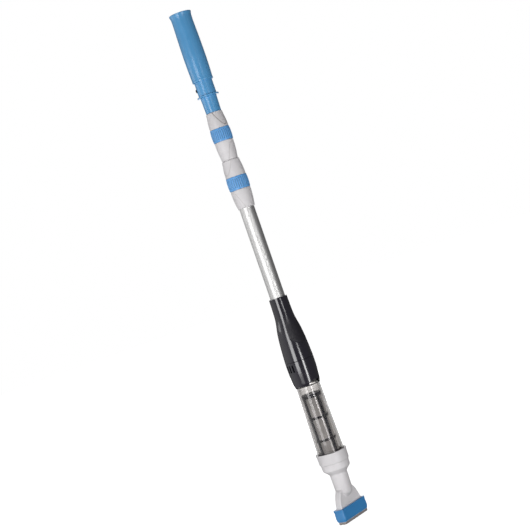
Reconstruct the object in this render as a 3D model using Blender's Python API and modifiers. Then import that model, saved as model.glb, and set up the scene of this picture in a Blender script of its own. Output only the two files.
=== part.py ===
"""Hand-pumped pool and spa vacuum, about 1 m long, as an assembly of separate pieces.

It stands upright on its nozzle: +Z runs up the pole and the mouth's long side lies along X. The origin is
the centre of the mouth. A pump housing slides on a clear debris chamber, the aluminium tube is the pump's
rod, and two more tubes telescope inside it below a blue handle.
"""

import math

import bmesh
import bpy
from mathutils import Matrix, Vector

MM = 0.001
GAP = 0.3 * MM
SEGMENTS = 24
MERGE = 0.00005
PAST = 2.0 * MM

# Nozzle: a flat mouth that turns into a round neck, a cone and a funnel
LIP_TOP = 5.0 * MM
LIP_HALF_WIDTH = 36.6 * MM
LIP_HALF_DEPTH = 8.6 * MM
LIP_NOTCH_LENGTH = 5.0 * MM
LIP_NOTCH_WIDTH = 3.0 * MM
LIP_NOTCH_HEIGHT = 1.8 * MM
MOUTH_HALF_WIDTH = 33.4 * MM
MOUTH_HALF_DEPTH = 6.8 * MM
MOUTH_WALL = 1.9 * MM
MOUTH_CORNER = 3.0 * MM
SHOULDERS_MM = ((27.0, 33.4), (37.0, 30.8), (46.0, 27.4), (52.0, 24.0), (57.0, 20.0), (61.0, 14.5))
NECK_R = 16.2 * MM
NECK_TOP_R = 16.8 * MM
NECK_BORE_R = 13.2 * MM
NECK_FOOT_Z = 57.0 * MM
NECK_FOOT_H = 15.6 * MM
NECK_FOOT_DEGS = (0, 20, 40, 60, 78)
BORE_FOOT_Z = 58.0 * MM
BORE_FOOT_H = 8.0 * MM
BORE_FOOT_R = 4.0 * MM
CONE_BOTTOM = 88.5 * MM
CONE_TOP = 97.5 * MM
FUNNEL_R = 26.0 * MM
FUNNEL_TOP_R = 26.8 * MM
FUNNEL_TOP = 110.0 * MM
SEAT_R = 20.0 * MM
SEAT_LEDGE = 2.0 * MM
SEAT_SHELF = 104.5 * MM
SPIGOT_R = 22.2 * MM
SPIGOT_TOP = 120.0 * MM

# Bumper that slips over the mouth. Its bulge is (share of the height, growth in mm)
BUMPER_BOTTOM = 5.3 * MM
BUMPER_TOP = 28.0 * MM
BUMPER_HALF_WIDTH = 38.4 * MM
BUMPER_HALF_DEPTH = 11.2 * MM
BUMPER_CORNER = 4.5 * MM
BUMPER_BULGE = ((0.0, -1.6), (0.14, -0.4), (0.35, 0.0), (0.8, -0.6), (0.88, 0.0), (1.0, 0.0))

# Inlet seat, and the flap hinged on it
INLET_HOLE_R = 9.5 * MM
SEAT_TOP = 108.0 * MM
EAR_X = 4.5 * MM
EAR_WIDTH = 2.0 * MM
EAR_DEPTH = 3.6 * MM
EAR_OVER_PIN = 1.9 * MM
FLAP_R = 11.0 * MM
FLAP_THICKNESS = 1.2 * MM
TONGUE_WIDTH = 6.0 * MM
TONGUE_LENGTH = 5.0 * MM
TONGUE_BACK = 3.5 * MM
KNUCKLE_R = 2.2 * MM
KNUCKLE_HALF = 3.1 * MM
FLAP_PIN_Y = 12.4 * MM
FLAP_PIN_Z = 110.6 * MM
FLAP_PIN_R = 1.0 * MM
FLAP_PIN_HALF = 6.0 * MM

# Collar and debris chamber
COLLAR_TOP = 130.0 * MM
COLLAR_R = 28.2 * MM
COLLAR_WAIST_R = 28.6 * MM
COLLAR_RIM_R = 29.3 * MM
COLLAR_RIM_H = 2.4 * MM
CHAMBER_FOOT_R = 25.0 * MM
CHAMBER_FOOT = 113.2 * MM
CHAMBER_STRAIGHT_TOP = 125.0 * MM
CHAMBER_TAPER_R = 24.9 * MM
CHAMBER_NECK_R = 22.2 * MM
CHAMBER_SHOULDER = 258.0 * MM
CHAMBER_TOP = 275.0 * MM
CHAMBER_WALL = 2.2 * MM
CHAMBER_STEP = 1.5 * MM
GASKET_R = 23.6 * MM
GASKET_BOTTOM = 257.9 * MM

# Filter cage, turned a little from the nozzle's axes
CAGE_TURN = -15.0
CAGE_FOOT = 108.5 * MM
CAGE_BASE_TOP = 114.5 * MM
CAGE_TOP = 242.2 * MM
CAGE_HOOP_R = 18.3 * MM
CAGE_FLANGE_R = 22.4 * MM
CAGE_FLANGE = (123.6 * MM, 126.4 * MM)
CAGE_INNER_R = 16.9 * MM
CAGE_HOOPS_MM = ((152.0, 156.6), (195.2, 199.8), (235.4, 242.2))
CAGE_RIBS = 4
CAGE_RIB_WIDTH = 5.4 * MM
CAGE_RIB_DEPTH = 1.9 * MM
CAGE_RIB_INNER_R = 17.1 * MM
CAGE_MESH_WALL = 0.6 * MM
CAGE_MESH_TOP = 239.0 * MM
CAGE_LID_BOTTOM = 239.3 * MM
CAGE_LID_TOP = 241.6 * MM
CAGE_LID_FLAT_R = 8.0 * MM
CAGE_LID_RISE = 1.5 * MM

# Pump housing, turned a little on the chamber's bayonet. Its outlines are (radius, height) in mm
HOUSING_TURN = -7.0
SKIRT_BOTTOM = 259.7 * MM
SKIRT_R = 27.0 * MM
SKIRT_MM = (
    (27.0, 307.4), (26.95, 292.0), (26.3, 278.0), (25.2, 265.0), (23.5, 259.7), (22.15, 259.7),
    (21.8, 263.0), (21.8, 276.2), (24.6, 280.0), (24.9, 304.7), (20.5, 304.7), (20.5, 307.4),
)
BODY_TOP = 427.0 * MM
BODY_OUTSIDE_MM = (
    (17.0, 427.0), (17.15, 426.4), (17.5, 406.0), (17.9, 394.0), (18.9, 385.0), (20.75, 375.0),
    (22.5, 367.0), (24.1, 355.0), (25.2, 341.0), (26.3, 323.0), (27.0, 307.7),
)
BODY_INSIDE_MM = ((24.7, 307.7), (24.7, 312.0), (22.8, 312.0), (21.5, 345.0), (18.6, 366.0), (16.4, 378.0))
GUIDE_BORE_R = 15.6 * MM
VENT_BOTTOM = 289.5 * MM
VENT_TOP = 303.0 * MM
VENT_WIDTH = 3.6 * MM
VENT_TURN = -11.5
VENT_STEP = 15.0
ARCH_RISE = 6.6 * MM
ARCH_HALF_WIDTH = 14.5 * MM
SCOOP_SIZE = (7.0 * MM, 20.0 * MM, 36.0 * MM)
SCOOP_Z = 358.0 * MM
SCOOP_FLOOR_R = 22.0 * MM
SCOOP_LEAN = -7.0

# Pump: duct, valves, liner and piston
DUCT_MM = ((13.0, 307.9), (13.0, 279.0), (21.4, 278.4), (21.4, 275.3), (11.5, 275.3), (11.5, 307.9))
PLATE_R = 24.4 * MM
PLATE_BOTTOM = 308.2 * MM
PLATE_TOP = 311.7 * MM
INTAKE_HOLES = (2.4 * MM, 7.0 * MM, 7.0)
OUTLET_HOLES = (1.5 * MM, 18.6 * MM, 37.0)
HOLES_PER_RING = 4
STEM_R = 2.0 * MM
INTAKE_DISC_R = 11.0 * MM
INTAKE_DISC_H = 1.3 * MM
STEM_KNOB_R = 3.2 * MM
STEM_BELOW_PLATE = 2.6 * MM
KNOB_SLOPE = 0.8 * MM
KNOB_H = 3.0 * MM
OUTLET_RING_R = 20.1 * MM
OUTLET_RING_INNER_R = 16.4 * MM
OUTLET_RING_H = 1.3 * MM
CYLINDER_R = 16.1 * MM
CYLINDER_BORE_R = 15.0 * MM
CYLINDER_TOP = 399.5 * MM
PORT_SIZE = (40.0 * MM, 6.0 * MM, 6.0 * MM)
PORT_RISE = 1.2 * MM
ROD_GUIDE_R = 15.2 * MM
ROD_GUIDE_BORE_R = 14.35 * MM
PISTON_R = 14.5 * MM
PISTON_BOTTOM = 316.0 * MM
PISTON_SPIGOT_TOP = 335.0 * MM
PISTON_GROOVE_R = 12.8 * MM
PISTON_GROOVE = (319.0 * MM, 323.0 * MM)
PISTON_RING_R = 14.6 * MM
PISTON_RING_BORE_R = 13.2 * MM

# Telescopic pole: radius, wall, bottom and top of each tube
OUTER_TUBE = (14.0 * MM, 1.2 * MM, 326.4 * MM, 652.0 * MM)
MIDDLE_TUBE = (12.5 * MM, 1.1 * MM, 344.4 * MM, 747.0 * MM)
INNER_TUBE = (11.0 * MM, 1.0 * MM, 355.6 * MM, 802.0 * MM)

# Plugs in the feet of the inner tubes: head and spigot radius, then bottom, shoulder and top
MIDDLE_PLUG = (12.4 * MM, 11.1 * MM, 337.2 * MM, 344.1 * MM, 350.0 * MM)
INNER_PLUG = (11.0 * MM, 9.7 * MM, 350.4 * MM, 355.3 * MM, 363.0 * MM)

# Twist locks. Heights: foot, bottom and top of the ring, top of the cap. Radii: foot, shoulder, ring, cap top
LOWER_LOCK_Z = (601.0 * MM, 636.0 * MM, 661.0 * MM, 692.2 * MM)
LOWER_LOCK_R = (16.5 * MM, 18.9 * MM, 20.15 * MM, 16.9 * MM)
UPPER_LOCK_Z = (692.6 * MM, 728.4 * MM, 753.2 * MM, 783.6 * MM)
UPPER_LOCK_R = (15.4 * MM, 17.65 * MM, 19.0 * MM, 15.9 * MM)
LOCK_WALL = 2.4 * MM
LOCK_SPIGOT_RISE = 4.5 * MM
LOCK_WAIST = 12.0 * MM
LOCK_WAIST_INSET = 0.25 * MM
CAP_SHOULDER = 9.0 * MM
RING_EDGE_INSET = 0.9 * MM
RING_BARREL = 5.0 * MM
COLLET_DROP = 5.8 * MM
COLLET_LOOSENESS = 0.35 * MM
SLIT_SIZE = (8.0 * MM, 1.6 * MM, 40.0 * MM)

# Handle
CONNECTOR_BOTTOM = 783.9 * MM
CONNECTOR_R = 14.3 * MM
CONNECTOR_TOP_R = 15.1 * MM
CONNECTOR_TOP = 850.0 * MM
CONNECTOR_WALL = 1.8 * MM
WEB_BORE_R = 9.0 * MM
WEB_H = 2.0 * MM
FLANGE_BOTTOM = 814.2 * MM
FLANGE_TOP = 816.7 * MM
FLANGE_R = 20.3 * MM
NECK_BAND_R = 16.75 * MM
NECK_BAND_TOP = 846.4 * MM
CORE_R = 16.2 * MM
CORE_BORE_R = 15.3 * MM
CORE_TOP_BORE_R = 14.4 * MM
CORE_STEP = (853.4 * MM, 855.4 * MM)
CORE_TOP = 965.0 * MM
GRIP_MM = (
    (20.6, 973.0), (20.9, 971.8), (19.4, 967.0), (19.1, 957.0), (20.1, 918.0), (20.4, 888.0),
    (20.0, 865.0), (19.4, 848.4), (19.7, 846.9), (19.3, 843.4), (17.05, 843.4), (17.05, 968.0),
    (18.6, 969.0), (18.9, 973.0),
)
GRIP_CAP_MM = (
    (0.0, 971.5), (9.0, 971.2), (16.15, 970.0), (16.75, 969.2), (16.75, 965.3), (14.0, 965.3),
    (14.0, 959.0), (0.0, 959.0),
)

# Snap button and its spring
BUTTON_DEG = 132.0
BUTTON_Z = 829.8 * MM
BUTTON_R = 3.6 * MM
BUTTON_FACE_R = 2.7 * MM
BUTTON_FLANGE_R = 5.0 * MM
BUTTON_BODY = (10.0 * MM, 18.0 * MM)
BUTTON_FACE = (17.0 * MM, 18.8 * MM)
BUTTON_FLANGE = (9.6 * MM, 11.4 * MM)
SPRING_ENDS = (-10.5 * MM, 9.0 * MM)
SPRING_TURNS = 4
SPRING_R = 3.2 * MM
SPRING_WIRE_R = 0.5 * MM


def clear_scene():
    for old in list(bpy.data.objects):
        bpy.data.objects.remove(old, do_unlink=True)


def make_collection(name):
    collection = bpy.data.collections.new(name)
    bpy.context.scene.collection.children.link(collection)
    return collection


def make_material(name, colour, roughness, metallic=0.0, alpha=1.0):
    material = bpy.data.materials.new(name)
    material.use_nodes = True
    shader = material.node_tree.nodes["Principled BSDF"]
    shader.inputs["Base Color"].default_value = (*colour, 1.0)
    shader.inputs["Roughness"].default_value = roughness
    shader.inputs["Metallic"].default_value = metallic
    shader.inputs["Alpha"].default_value = alpha
    return material


clear_scene()
PARTS = make_collection("hand_pump_vacuum")
CUTTERS = make_collection("cutters")

BLUE = ((0.09, 0.30, 0.60), 0.28)
RING_BLUE = ((0.08, 0.26, 0.62), 0.35)
BUMPER_BLUE = ((0.03, 0.17, 0.40), 0.45)
GREY = ((0.62, 0.61, 0.62), 0.42)
BLACK = ((0.022, 0.021, 0.026), 0.22)
CAGE_BLACK = ((0.03, 0.03, 0.04), 0.4)
RUBBER = ((0.015, 0.015, 0.016), 0.7)
MESH_GREY = ((0.35, 0.35, 0.34), 0.5)
NATURAL = ((0.75, 0.74, 0.70), 0.5)
ALUMINIUM = ((0.80, 0.80, 0.81), 0.28, 1.0)
STEEL = ((0.55, 0.55, 0.56), 0.3, 1.0)
CLEAR = ((0.80, 0.82, 0.83), 0.06, 0.0, 0.3)


def add_part(name, mesh, finish):
    """Put a mesh in the model as a sub-part with its own material."""
    part = bpy.data.objects.new(name, mesh)
    PARTS.objects.link(part)
    part.data.materials.append(make_material(name, *finish))
    return part


def add_cutter(name, mesh):
    cutter = bpy.data.objects.new(name, mesh)
    CUTTERS.objects.link(cutter)
    cutter.hide_render = True
    cutter.display_type = "WIRE"
    return cutter


def scaled(points_mm):
    """Outline points given in mm, in metres."""
    return [(radius * MM, height * MM) for radius, height in points_mm]


def profile_mesh(name, outline, closed):
    """Edges of an outline of (radius, height) points in the X-Z plane."""
    mesh = bpy.data.meshes.new(name)
    points = [(radius, 0.0, height) for radius, height in outline]
    edges = [(i, i + 1) for i in range(len(points) - 1)]
    if closed:
        edges.append((len(points) - 1, 0))
    mesh.from_pydata(points, edges, [])
    return mesh


def spin(thing):
    screw = thing.modifiers.new("turn", "SCREW")
    screw.steps = SEGMENTS
    screw.render_steps = SEGMENTS
    screw.use_merge_vertices = True
    screw.merge_threshold = MERGE
    screw.use_smooth_shade = True


def turned(name, outline, finish):
    """A turned sub-part. The outline runs down the outside; it is a loop unless it touches the axis."""
    touches_axis = outline[0][0] == 0.0
    part = add_part(name, profile_mesh(name, outline, not touches_axis), finish)
    spin(part)
    return part


def turned_cutter(name, outline):
    touches_axis = outline[0][0] == 0.0
    cutter = add_cutter(name, profile_mesh(name, outline, not touches_axis))
    spin(cutter)
    return cutter


def turn_about_z(shape, degrees):
    turn = Matrix.Rotation(math.radians(degrees), 3, "Z")
    bmesh.ops.rotate(shape, cent=(0.0, 0.0, 0.0), matrix=turn, verts=shape.verts)


def box_mesh(name, size, centre, turn_deg=0.0):
    """A box of the given size and centre, turned about the Z axis through the origin."""
    mesh = bpy.data.meshes.new(name)
    shape = bmesh.new()
    bmesh.ops.create_cube(shape, size=1.0)
    bmesh.ops.scale(shape, vec=size, verts=shape.verts)
    bmesh.ops.translate(shape, vec=centre, verts=shape.verts)
    turn_about_z(shape, turn_deg)
    shape.to_mesh(mesh)
    shape.free()
    return mesh


def rod_mesh(name, radius, start, end, axis, place, segments=12):
    """A round rod from start to end along X or Z, then moved to place."""
    mesh = bpy.data.meshes.new(name)
    shape = bmesh.new()
    bmesh.ops.create_cone(
        shape, cap_ends=True, segments=segments, radius1=radius, radius2=radius, depth=end - start
    )
    bmesh.ops.translate(shape, vec=(0.0, 0.0, (start + end) / 2), verts=shape.verts)
    if axis == "X":
        turn = Matrix.Rotation(math.pi / 2, 3, "Y")
        bmesh.ops.rotate(shape, cent=(0.0, 0.0, 0.0), matrix=turn, verts=shape.verts)
    bmesh.ops.translate(shape, vec=place, verts=shape.verts)
    shape.to_mesh(mesh)
    shape.free()
    return mesh


def combine(part, other, operation):
    boolean = part.modifiers.new(other.name, "BOOLEAN")
    boolean.operation = operation
    boolean.object = other
    boolean.solver = "EXACT"


def cut(part, *cutters):
    for cutter in cutters:
        combine(part, cutter, "DIFFERENCE")


def join(part, *guides):
    for guide in guides:
        combine(part, guide, "UNION")


def slot_ring(half_width, half_depth, height, corner):
    """One level of the flat mouth: a rectangle with round corners, as a loop of points."""
    steps = 3
    points = []
    for quarter in range(4):
        side_x = 1 if quarter in (0, 3) else -1
        side_y = 1 if quarter in (0, 1) else -1
        for step in range(steps + 1):
            angle = math.radians(90.0 * (quarter + step / steps))
            x = side_x * (half_width - corner) + corner * math.cos(angle)
            y = side_y * (half_depth - corner) + corner * math.sin(angle)
            points.append((x, y, height))
    return points


def loft_mesh(name, rings):
    """A closed solid through rings of equal length, from the lowest to the highest."""
    mesh = bpy.data.meshes.new(name)
    shape = bmesh.new()
    loops = [[shape.verts.new(point) for point in ring] for ring in rings]
    count = len(loops[0])
    for lower, upper in zip(loops, loops[1:]):
        for i in range(count):
            after = (i + 1) % count
            shape.faces.new((lower[i], lower[after], upper[after], upper[i]))
    shape.faces.new(list(reversed(loops[0])))
    shape.faces.new(loops[-1])
    shape.to_mesh(mesh)
    shape.free()
    return mesh


def ring_outline(outer_r, inner_r, bottom, top):
    return ((outer_r, top), (outer_r, bottom), (inner_r, bottom), (inner_r, top))


def nozzle_body():
    """Flat mouth and round neck in one hollow moulding."""
    shoulders = scaled([(width, height) for height, width in SHOULDERS_MM])
    levels = [(LIP_HALF_WIDTH, LIP_HALF_DEPTH, 0.0), (LIP_HALF_WIDTH, LIP_HALF_DEPTH, LIP_TOP)]
    levels.append((MOUTH_HALF_WIDTH, MOUTH_HALF_DEPTH, LIP_TOP))
    levels += [(width, MOUTH_HALF_DEPTH, height) for width, height in shoulders]
    outer = [slot_ring(width, depth, height, MOUTH_CORNER) for width, depth, height in levels]
    body = add_part("nozzle_body", loft_mesh("nozzle_body", outer), GREY)
    join(body, nozzle_neck())
    cut(body, nozzle_flat_bore(shoulders), nozzle_round_bore())
    for side in (-1, 1):
        size = (LIP_NOTCH_LENGTH, LIP_NOTCH_WIDTH, 2 * LIP_NOTCH_HEIGHT)
        notch = box_mesh("lip_notch", size, (side * LIP_HALF_WIDTH, 0.0, 0.0))
        cut(body, add_cutter("lip_notch", notch))


def nozzle_neck():
    """Spigot, funnel, cone and neck, with a rounded foot that sinks into the flat mouth."""
    angles = [math.radians(degrees) for degrees in NECK_FOOT_DEGS]
    foot = [(NECK_R * math.cos(angle), NECK_FOOT_Z - NECK_FOOT_H * math.sin(angle)) for angle in angles]
    outline = [
        (0.0, SPIGOT_TOP),
        (SPIGOT_R, SPIGOT_TOP),
        (SPIGOT_R, FUNNEL_TOP),
        (FUNNEL_TOP_R, FUNNEL_TOP),
        (FUNNEL_R, CONE_TOP),
        (NECK_TOP_R, CONE_BOTTOM),
    ]
    outline += foot
    outline.append((0.0, foot[-1][1]))
    return turned_cutter("nozzle_neck", outline)


def nozzle_flat_bore(shoulders):
    corner = MOUTH_CORNER - 1.2 * MM
    depth = MOUTH_HALF_DEPTH - MOUTH_WALL
    rings = [slot_ring(MOUTH_HALF_WIDTH - MOUTH_WALL, depth, -PAST, corner)]
    rings += [slot_ring(width - MOUTH_WALL, depth, height, corner) for width, height in shoulders]
    return add_cutter("nozzle_flat_bore", loft_mesh("nozzle_flat_bore", rings))


def nozzle_round_bore():
    ledge_r = SEAT_R - SEAT_LEDGE
    outline = (
        (0.0, SPIGOT_TOP + PAST),
        (SEAT_R + GAP, SPIGOT_TOP + PAST),
        (SEAT_R + GAP, SEAT_SHELF),
        (ledge_r, SEAT_SHELF),
        (ledge_r, CONE_TOP),
        (NECK_BORE_R, CONE_BOTTOM),
        (NECK_BORE_R, BORE_FOOT_Z),
        (BORE_FOOT_R, BORE_FOOT_Z - BORE_FOOT_H),
        (0.0, BORE_FOOT_Z - BORE_FOOT_H),
    )
    return turned_cutter("nozzle_round_bore", outline)


def bumper_frame():
    """Slip-on bumper: a bulged band round the mouth."""
    rings = []
    for share, grow in BUMPER_BULGE:
        height = BUMPER_BOTTOM + share * (BUMPER_TOP - BUMPER_BOTTOM)
        width = BUMPER_HALF_WIDTH + grow * MM
        depth = BUMPER_HALF_DEPTH + grow * MM
        rings.append(slot_ring(width, depth, height, BUMPER_CORNER))
    frame = add_part("bumper_frame", loft_mesh("bumper_frame", rings), BUMPER_BLUE)
    inner_width = MOUTH_HALF_WIDTH + GAP
    inner_depth = MOUTH_HALF_DEPTH + GAP
    ends = (BUMPER_BOTTOM - PAST, BUMPER_TOP + PAST)
    opening = [slot_ring(inner_width, inner_depth, height, MOUTH_CORNER) for height in ends]
    cut(frame, add_cutter("bumper_opening", loft_mesh("bumper_opening", opening)))


def collar_ring():
    """Threaded ring that holds the chamber on the funnel."""
    bottom = FUNNEL_TOP + GAP
    rim_foot = COLLAR_TOP - COLLAR_RIM_H
    inner = CHAMBER_FOOT_R + GAP
    outline = (
        (COLLAR_RIM_R, COLLAR_TOP),
        (COLLAR_RIM_R, rim_foot),
        (COLLAR_WAIST_R, rim_foot - 2.0 * MM),
        (COLLAR_R, bottom),
        (inner, bottom),
        (inner, COLLAR_TOP),
    )
    turned("collar_ring", outline, GREY)


def chamber_seal():
    seal = ring_outline(CHAMBER_FOOT_R, SPIGOT_R + GAP, FUNNEL_TOP + GAP, CHAMBER_FOOT - GAP)
    turned("chamber_seal", seal, RUBBER)


def flap_axis_rod(name, radius, half_length):
    """A rod along the flap's hinge."""
    return rod_mesh(name, radius, -half_length, half_length, "X", (0.0, FLAP_PIN_Y, FLAP_PIN_Z))


def inlet_seat():
    """Plate across the funnel: the inlet hole, and two ears for the flap's pin."""
    seat = turned("inlet_seat", ring_outline(SEAT_R, INLET_HOLE_R, SEAT_SHELF + GAP, SEAT_TOP), NATURAL)
    bottom = SEAT_TOP - 1.5 * MM
    top = FLAP_PIN_Z + EAR_OVER_PIN
    for side in (-1, 1):
        centre = (side * EAR_X, FLAP_PIN_Y, (bottom + top) / 2)
        ear = box_mesh("seat_ear", (EAR_WIDTH, EAR_DEPTH, top - bottom), centre)
        join(seat, add_cutter("seat_ear", ear))
    cut(seat, add_cutter("ear_bore", flap_axis_rod("ear_bore", FLAP_PIN_R + GAP, FLAP_PIN_HALF + PAST)))


def inlet_flap():
    """Rubber flap over the inlet hole, with its knuckle on the hinge pin."""
    bottom = SEAT_TOP + GAP
    top = bottom + FLAP_THICKNESS
    disc = rod_mesh("inlet_flap", FLAP_R, bottom, top, "Z", (0.0, 0.0, 0.0), SEGMENTS)
    flap = add_part("inlet_flap", disc, RUBBER)
    tongue_place = (0.0, FLAP_PIN_Y - TONGUE_BACK, (bottom + top) / 2)
    tongue = box_mesh("flap_tongue", (TONGUE_WIDTH, TONGUE_LENGTH, FLAP_THICKNESS), tongue_place)
    knuckle = flap_axis_rod("flap_knuckle", KNUCKLE_R, KNUCKLE_HALF)
    join(flap, add_cutter("flap_tongue", tongue), add_cutter("flap_knuckle", knuckle))
    cut(flap, add_cutter("flap_bore", flap_axis_rod("flap_bore", FLAP_PIN_R + GAP, FLAP_PIN_HALF + PAST)))


def flap_pin():
    add_part("flap_pin", flap_axis_rod("flap_pin", FLAP_PIN_R, FLAP_PIN_HALF), STEEL)


def cage_frame():
    """Filter cage: a base ring, a flange that centres it in the chamber, three hoops and four ribs."""
    base = ring_outline(SEAT_R - GAP, CAGE_INNER_R, CAGE_FOOT, CAGE_BASE_TOP)
    cage = turned("cage_frame", base, CAGE_BLACK)
    flange = ring_outline(CAGE_FLANGE_R, CAGE_INNER_R, *CAGE_FLANGE)
    join(cage, turned_cutter("cage_flange", flange))
    for low, high in CAGE_HOOPS_MM:
        hoop = ring_outline(CAGE_HOOP_R, CAGE_INNER_R, low * MM, high * MM)
        join(cage, turned_cutter("cage_hoop", hoop))
    bottom = CAGE_FOOT + 3.0 * MM
    top = CAGE_TOP - 1.0 * MM
    for index in range(CAGE_RIBS):
        centre = (CAGE_RIB_INNER_R + CAGE_RIB_DEPTH / 2, 0.0, (bottom + top) / 2)
        turn = CAGE_TURN + index * 360.0 / CAGE_RIBS
        rib = box_mesh("cage_rib", (CAGE_RIB_DEPTH, CAGE_RIB_WIDTH, top - bottom), centre, turn)
        join(cage, add_cutter("cage_rib", rib))


def cage_mesh():
    outer = CAGE_INNER_R - GAP
    turned("cage_mesh", ring_outline(outer, outer - CAGE_MESH_WALL, CAGE_BASE_TOP, CAGE_MESH_TOP), MESH_GREY)


def cage_lid():
    edge = CAGE_INNER_R - GAP
    outline = (
        (0.0, CAGE_LID_TOP + CAGE_LID_RISE),
        (CAGE_LID_FLAT_R, CAGE_LID_TOP),
        (edge, CAGE_LID_TOP),
        (edge, CAGE_LID_BOTTOM),
        (0.0, CAGE_LID_BOTTOM),
    )
    turned("cage_lid", outline, CAGE_BLACK)


def debris_chamber():
    """Clear tapered chamber, open at both ends."""
    foot_inner = CHAMBER_FOOT_R - CHAMBER_WALL
    neck_inner = CHAMBER_NECK_R - CHAMBER_WALL
    outline = (
        (CHAMBER_NECK_R - CHAMBER_STEP, CHAMBER_TOP),
        (CHAMBER_NECK_R - CHAMBER_STEP, CHAMBER_SHOULDER + 2.0 * MM),
        (CHAMBER_NECK_R, CHAMBER_SHOULDER),
        (CHAMBER_TAPER_R, CHAMBER_STRAIGHT_TOP + 6.0 * MM),
        (CHAMBER_FOOT_R, CHAMBER_STRAIGHT_TOP),
        (CHAMBER_FOOT_R, CHAMBER_FOOT),
        (foot_inner, CHAMBER_FOOT),
        (foot_inner, CHAMBER_STRAIGHT_TOP),
        (neck_inner - 0.4 * CHAMBER_STEP, CHAMBER_SHOULDER),
        (neck_inner - CHAMBER_STEP, CHAMBER_TOP),
    )
    turned("debris_chamber", outline, CLEAR)


def chamber_gasket():
    gasket = ring_outline(GASKET_R, CHAMBER_NECK_R + 0.4 * MM, GASKET_BOTTOM, SKIRT_BOTTOM - GAP)
    turned("chamber_gasket", gasket, RUBBER)


def vent_skirt():
    """Lower shell of the housing: three vents on each side and an arch at front and back."""
    skirt = turned("vent_skirt", scaled(SKIRT_MM), BLACK)
    size = (12.0 * MM, VENT_WIDTH, VENT_TOP - VENT_BOTTOM)
    centre = (SKIRT_R, 0.0, (VENT_BOTTOM + VENT_TOP) / 2)
    for side in (0.0, 180.0):
        for step in (-1, 0, 1):
            turn = side + VENT_TURN + step * VENT_STEP
            cut(skirt, add_cutter("vent", box_mesh("vent", size, centre, turn)))
    cut(skirt, skirt_arch())


def skirt_arch():
    """An elliptical rod right through the skirt's lower edge."""
    mesh = rod_mesh("arch", 1.0, -2 * SKIRT_R, 2 * SKIRT_R, "X", (0.0, 0.0, 0.0), SEGMENTS)
    shape = bmesh.new()
    shape.from_mesh(mesh)
    bmesh.ops.scale(shape, vec=(1.0, ARCH_HALF_WIDTH, ARCH_RISE), verts=shape.verts)
    bmesh.ops.translate(shape, vec=(0.0, 0.0, SKIRT_BOTTOM), verts=shape.verts)
    turn_about_z(shape, 90.0 + HOUSING_TURN)
    shape.to_mesh(mesh)
    shape.free()
    return add_cutter("arch", mesh)


def pump_body():
    """Bottle-shaped upper shell with a shallow finger scoop at front and back."""
    bore = CYLINDER_R + GAP
    roof = CYLINDER_TOP + GAP
    outline = scaled(BODY_OUTSIDE_MM) + scaled(BODY_INSIDE_MM)
    outline += [(bore, roof), (GUIDE_BORE_R, roof), (GUIDE_BORE_R, BODY_TOP)]
    body = turned("pump_body", outline, BLACK)
    for side in (-90.0, 90.0):
        cut(body, add_cutter("scoop", scoop_mesh(side + HOUSING_TURN)))


def scoop_mesh(turn_deg):
    """An egg that leans with the body's shoulder and sinks into it a little."""
    mesh = bpy.data.meshes.new("scoop")
    shape = bmesh.new()
    bmesh.ops.create_uvsphere(shape, u_segments=16, v_segments=10, radius=1.0)
    bmesh.ops.scale(shape, vec=SCOOP_SIZE, verts=shape.verts)
    lean = Matrix.Rotation(math.radians(SCOOP_LEAN), 3, "Y")
    bmesh.ops.rotate(shape, cent=(0.0, 0.0, 0.0), matrix=lean, verts=shape.verts)
    bmesh.ops.translate(shape, vec=(SCOOP_FLOOR_R + SCOOP_SIZE[0], 0.0, SCOOP_Z), verts=shape.verts)
    turn_about_z(shape, turn_deg)
    shape.to_mesh(mesh)
    shape.free()
    return mesh


def suction_duct():
    """Funnel from the top of the chamber to the pump's intake."""
    turned("suction_duct", scaled(DUCT_MM), CAGE_BLACK)


def valve_plate():
    """Disc under the pump cylinder: a ring of intake holes, a stem hole and a ring of outlet holes."""
    plate = turned("valve_plate", ring_outline(PLATE_R, STEM_R + GAP, PLATE_BOTTOM, PLATE_TOP), NATURAL)
    low = PLATE_BOTTOM - PAST
    high = PLATE_TOP + PAST
    for radius, circle, first_deg in (INTAKE_HOLES, OUTLET_HOLES):
        for index in range(HOLES_PER_RING):
            angle = math.radians(first_deg + index * 360.0 / HOLES_PER_RING)
            place = (circle * math.cos(angle), circle * math.sin(angle), 0.0)
            cut(plate, add_cutter("plate_hole", rod_mesh("plate_hole", radius, low, high, "Z", place, 6)))


def intake_valve():
    """Rubber disc that lifts off the intake holes, guided by its stem."""
    bottom = PLATE_TOP + GAP
    top = bottom + INTAKE_DISC_H
    knob_top = PLATE_BOTTOM - STEM_BELOW_PLATE
    outline = (
        (0.0, top),
        (INTAKE_DISC_R, top),
        (INTAKE_DISC_R, bottom),
        (STEM_R, bottom),
        (STEM_R, knob_top),
        (STEM_KNOB_R, knob_top - KNOB_SLOPE),
        (0.0, knob_top - KNOB_H),
    )
    turned("intake_valve", outline, RUBBER)


def outlet_valve():
    top = PLATE_BOTTOM - GAP
    ring = ring_outline(OUTLET_RING_R, OUTLET_RING_INNER_R, top - OUTLET_RING_H, top)
    turned("outlet_valve", ring, RUBBER)


def pump_cylinder():
    """The pump's liner, with outlet ports round its foot."""
    bottom = PLATE_TOP + GAP
    outline = ring_outline(CYLINDER_R, CYLINDER_BORE_R, bottom, CYLINDER_TOP)
    liner = turned("pump_cylinder", outline, ALUMINIUM)
    for turn in (0.0, 90.0):
        port = box_mesh("liner_port", PORT_SIZE, (0.0, 0.0, bottom + PORT_RISE), turn)
        cut(liner, add_cutter("liner_port", port))


def rod_guide():
    guide = ring_outline(ROD_GUIDE_R, ROD_GUIDE_BORE_R, CYLINDER_TOP + 2 * GAP, BODY_TOP - 0.6 * MM)
    turned("rod_guide", guide, RUBBER)


def tube(name, spec):
    radius, wall, bottom, top = spec
    turned(name, ring_outline(radius, radius - wall, bottom, top), ALUMINIUM)


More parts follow.
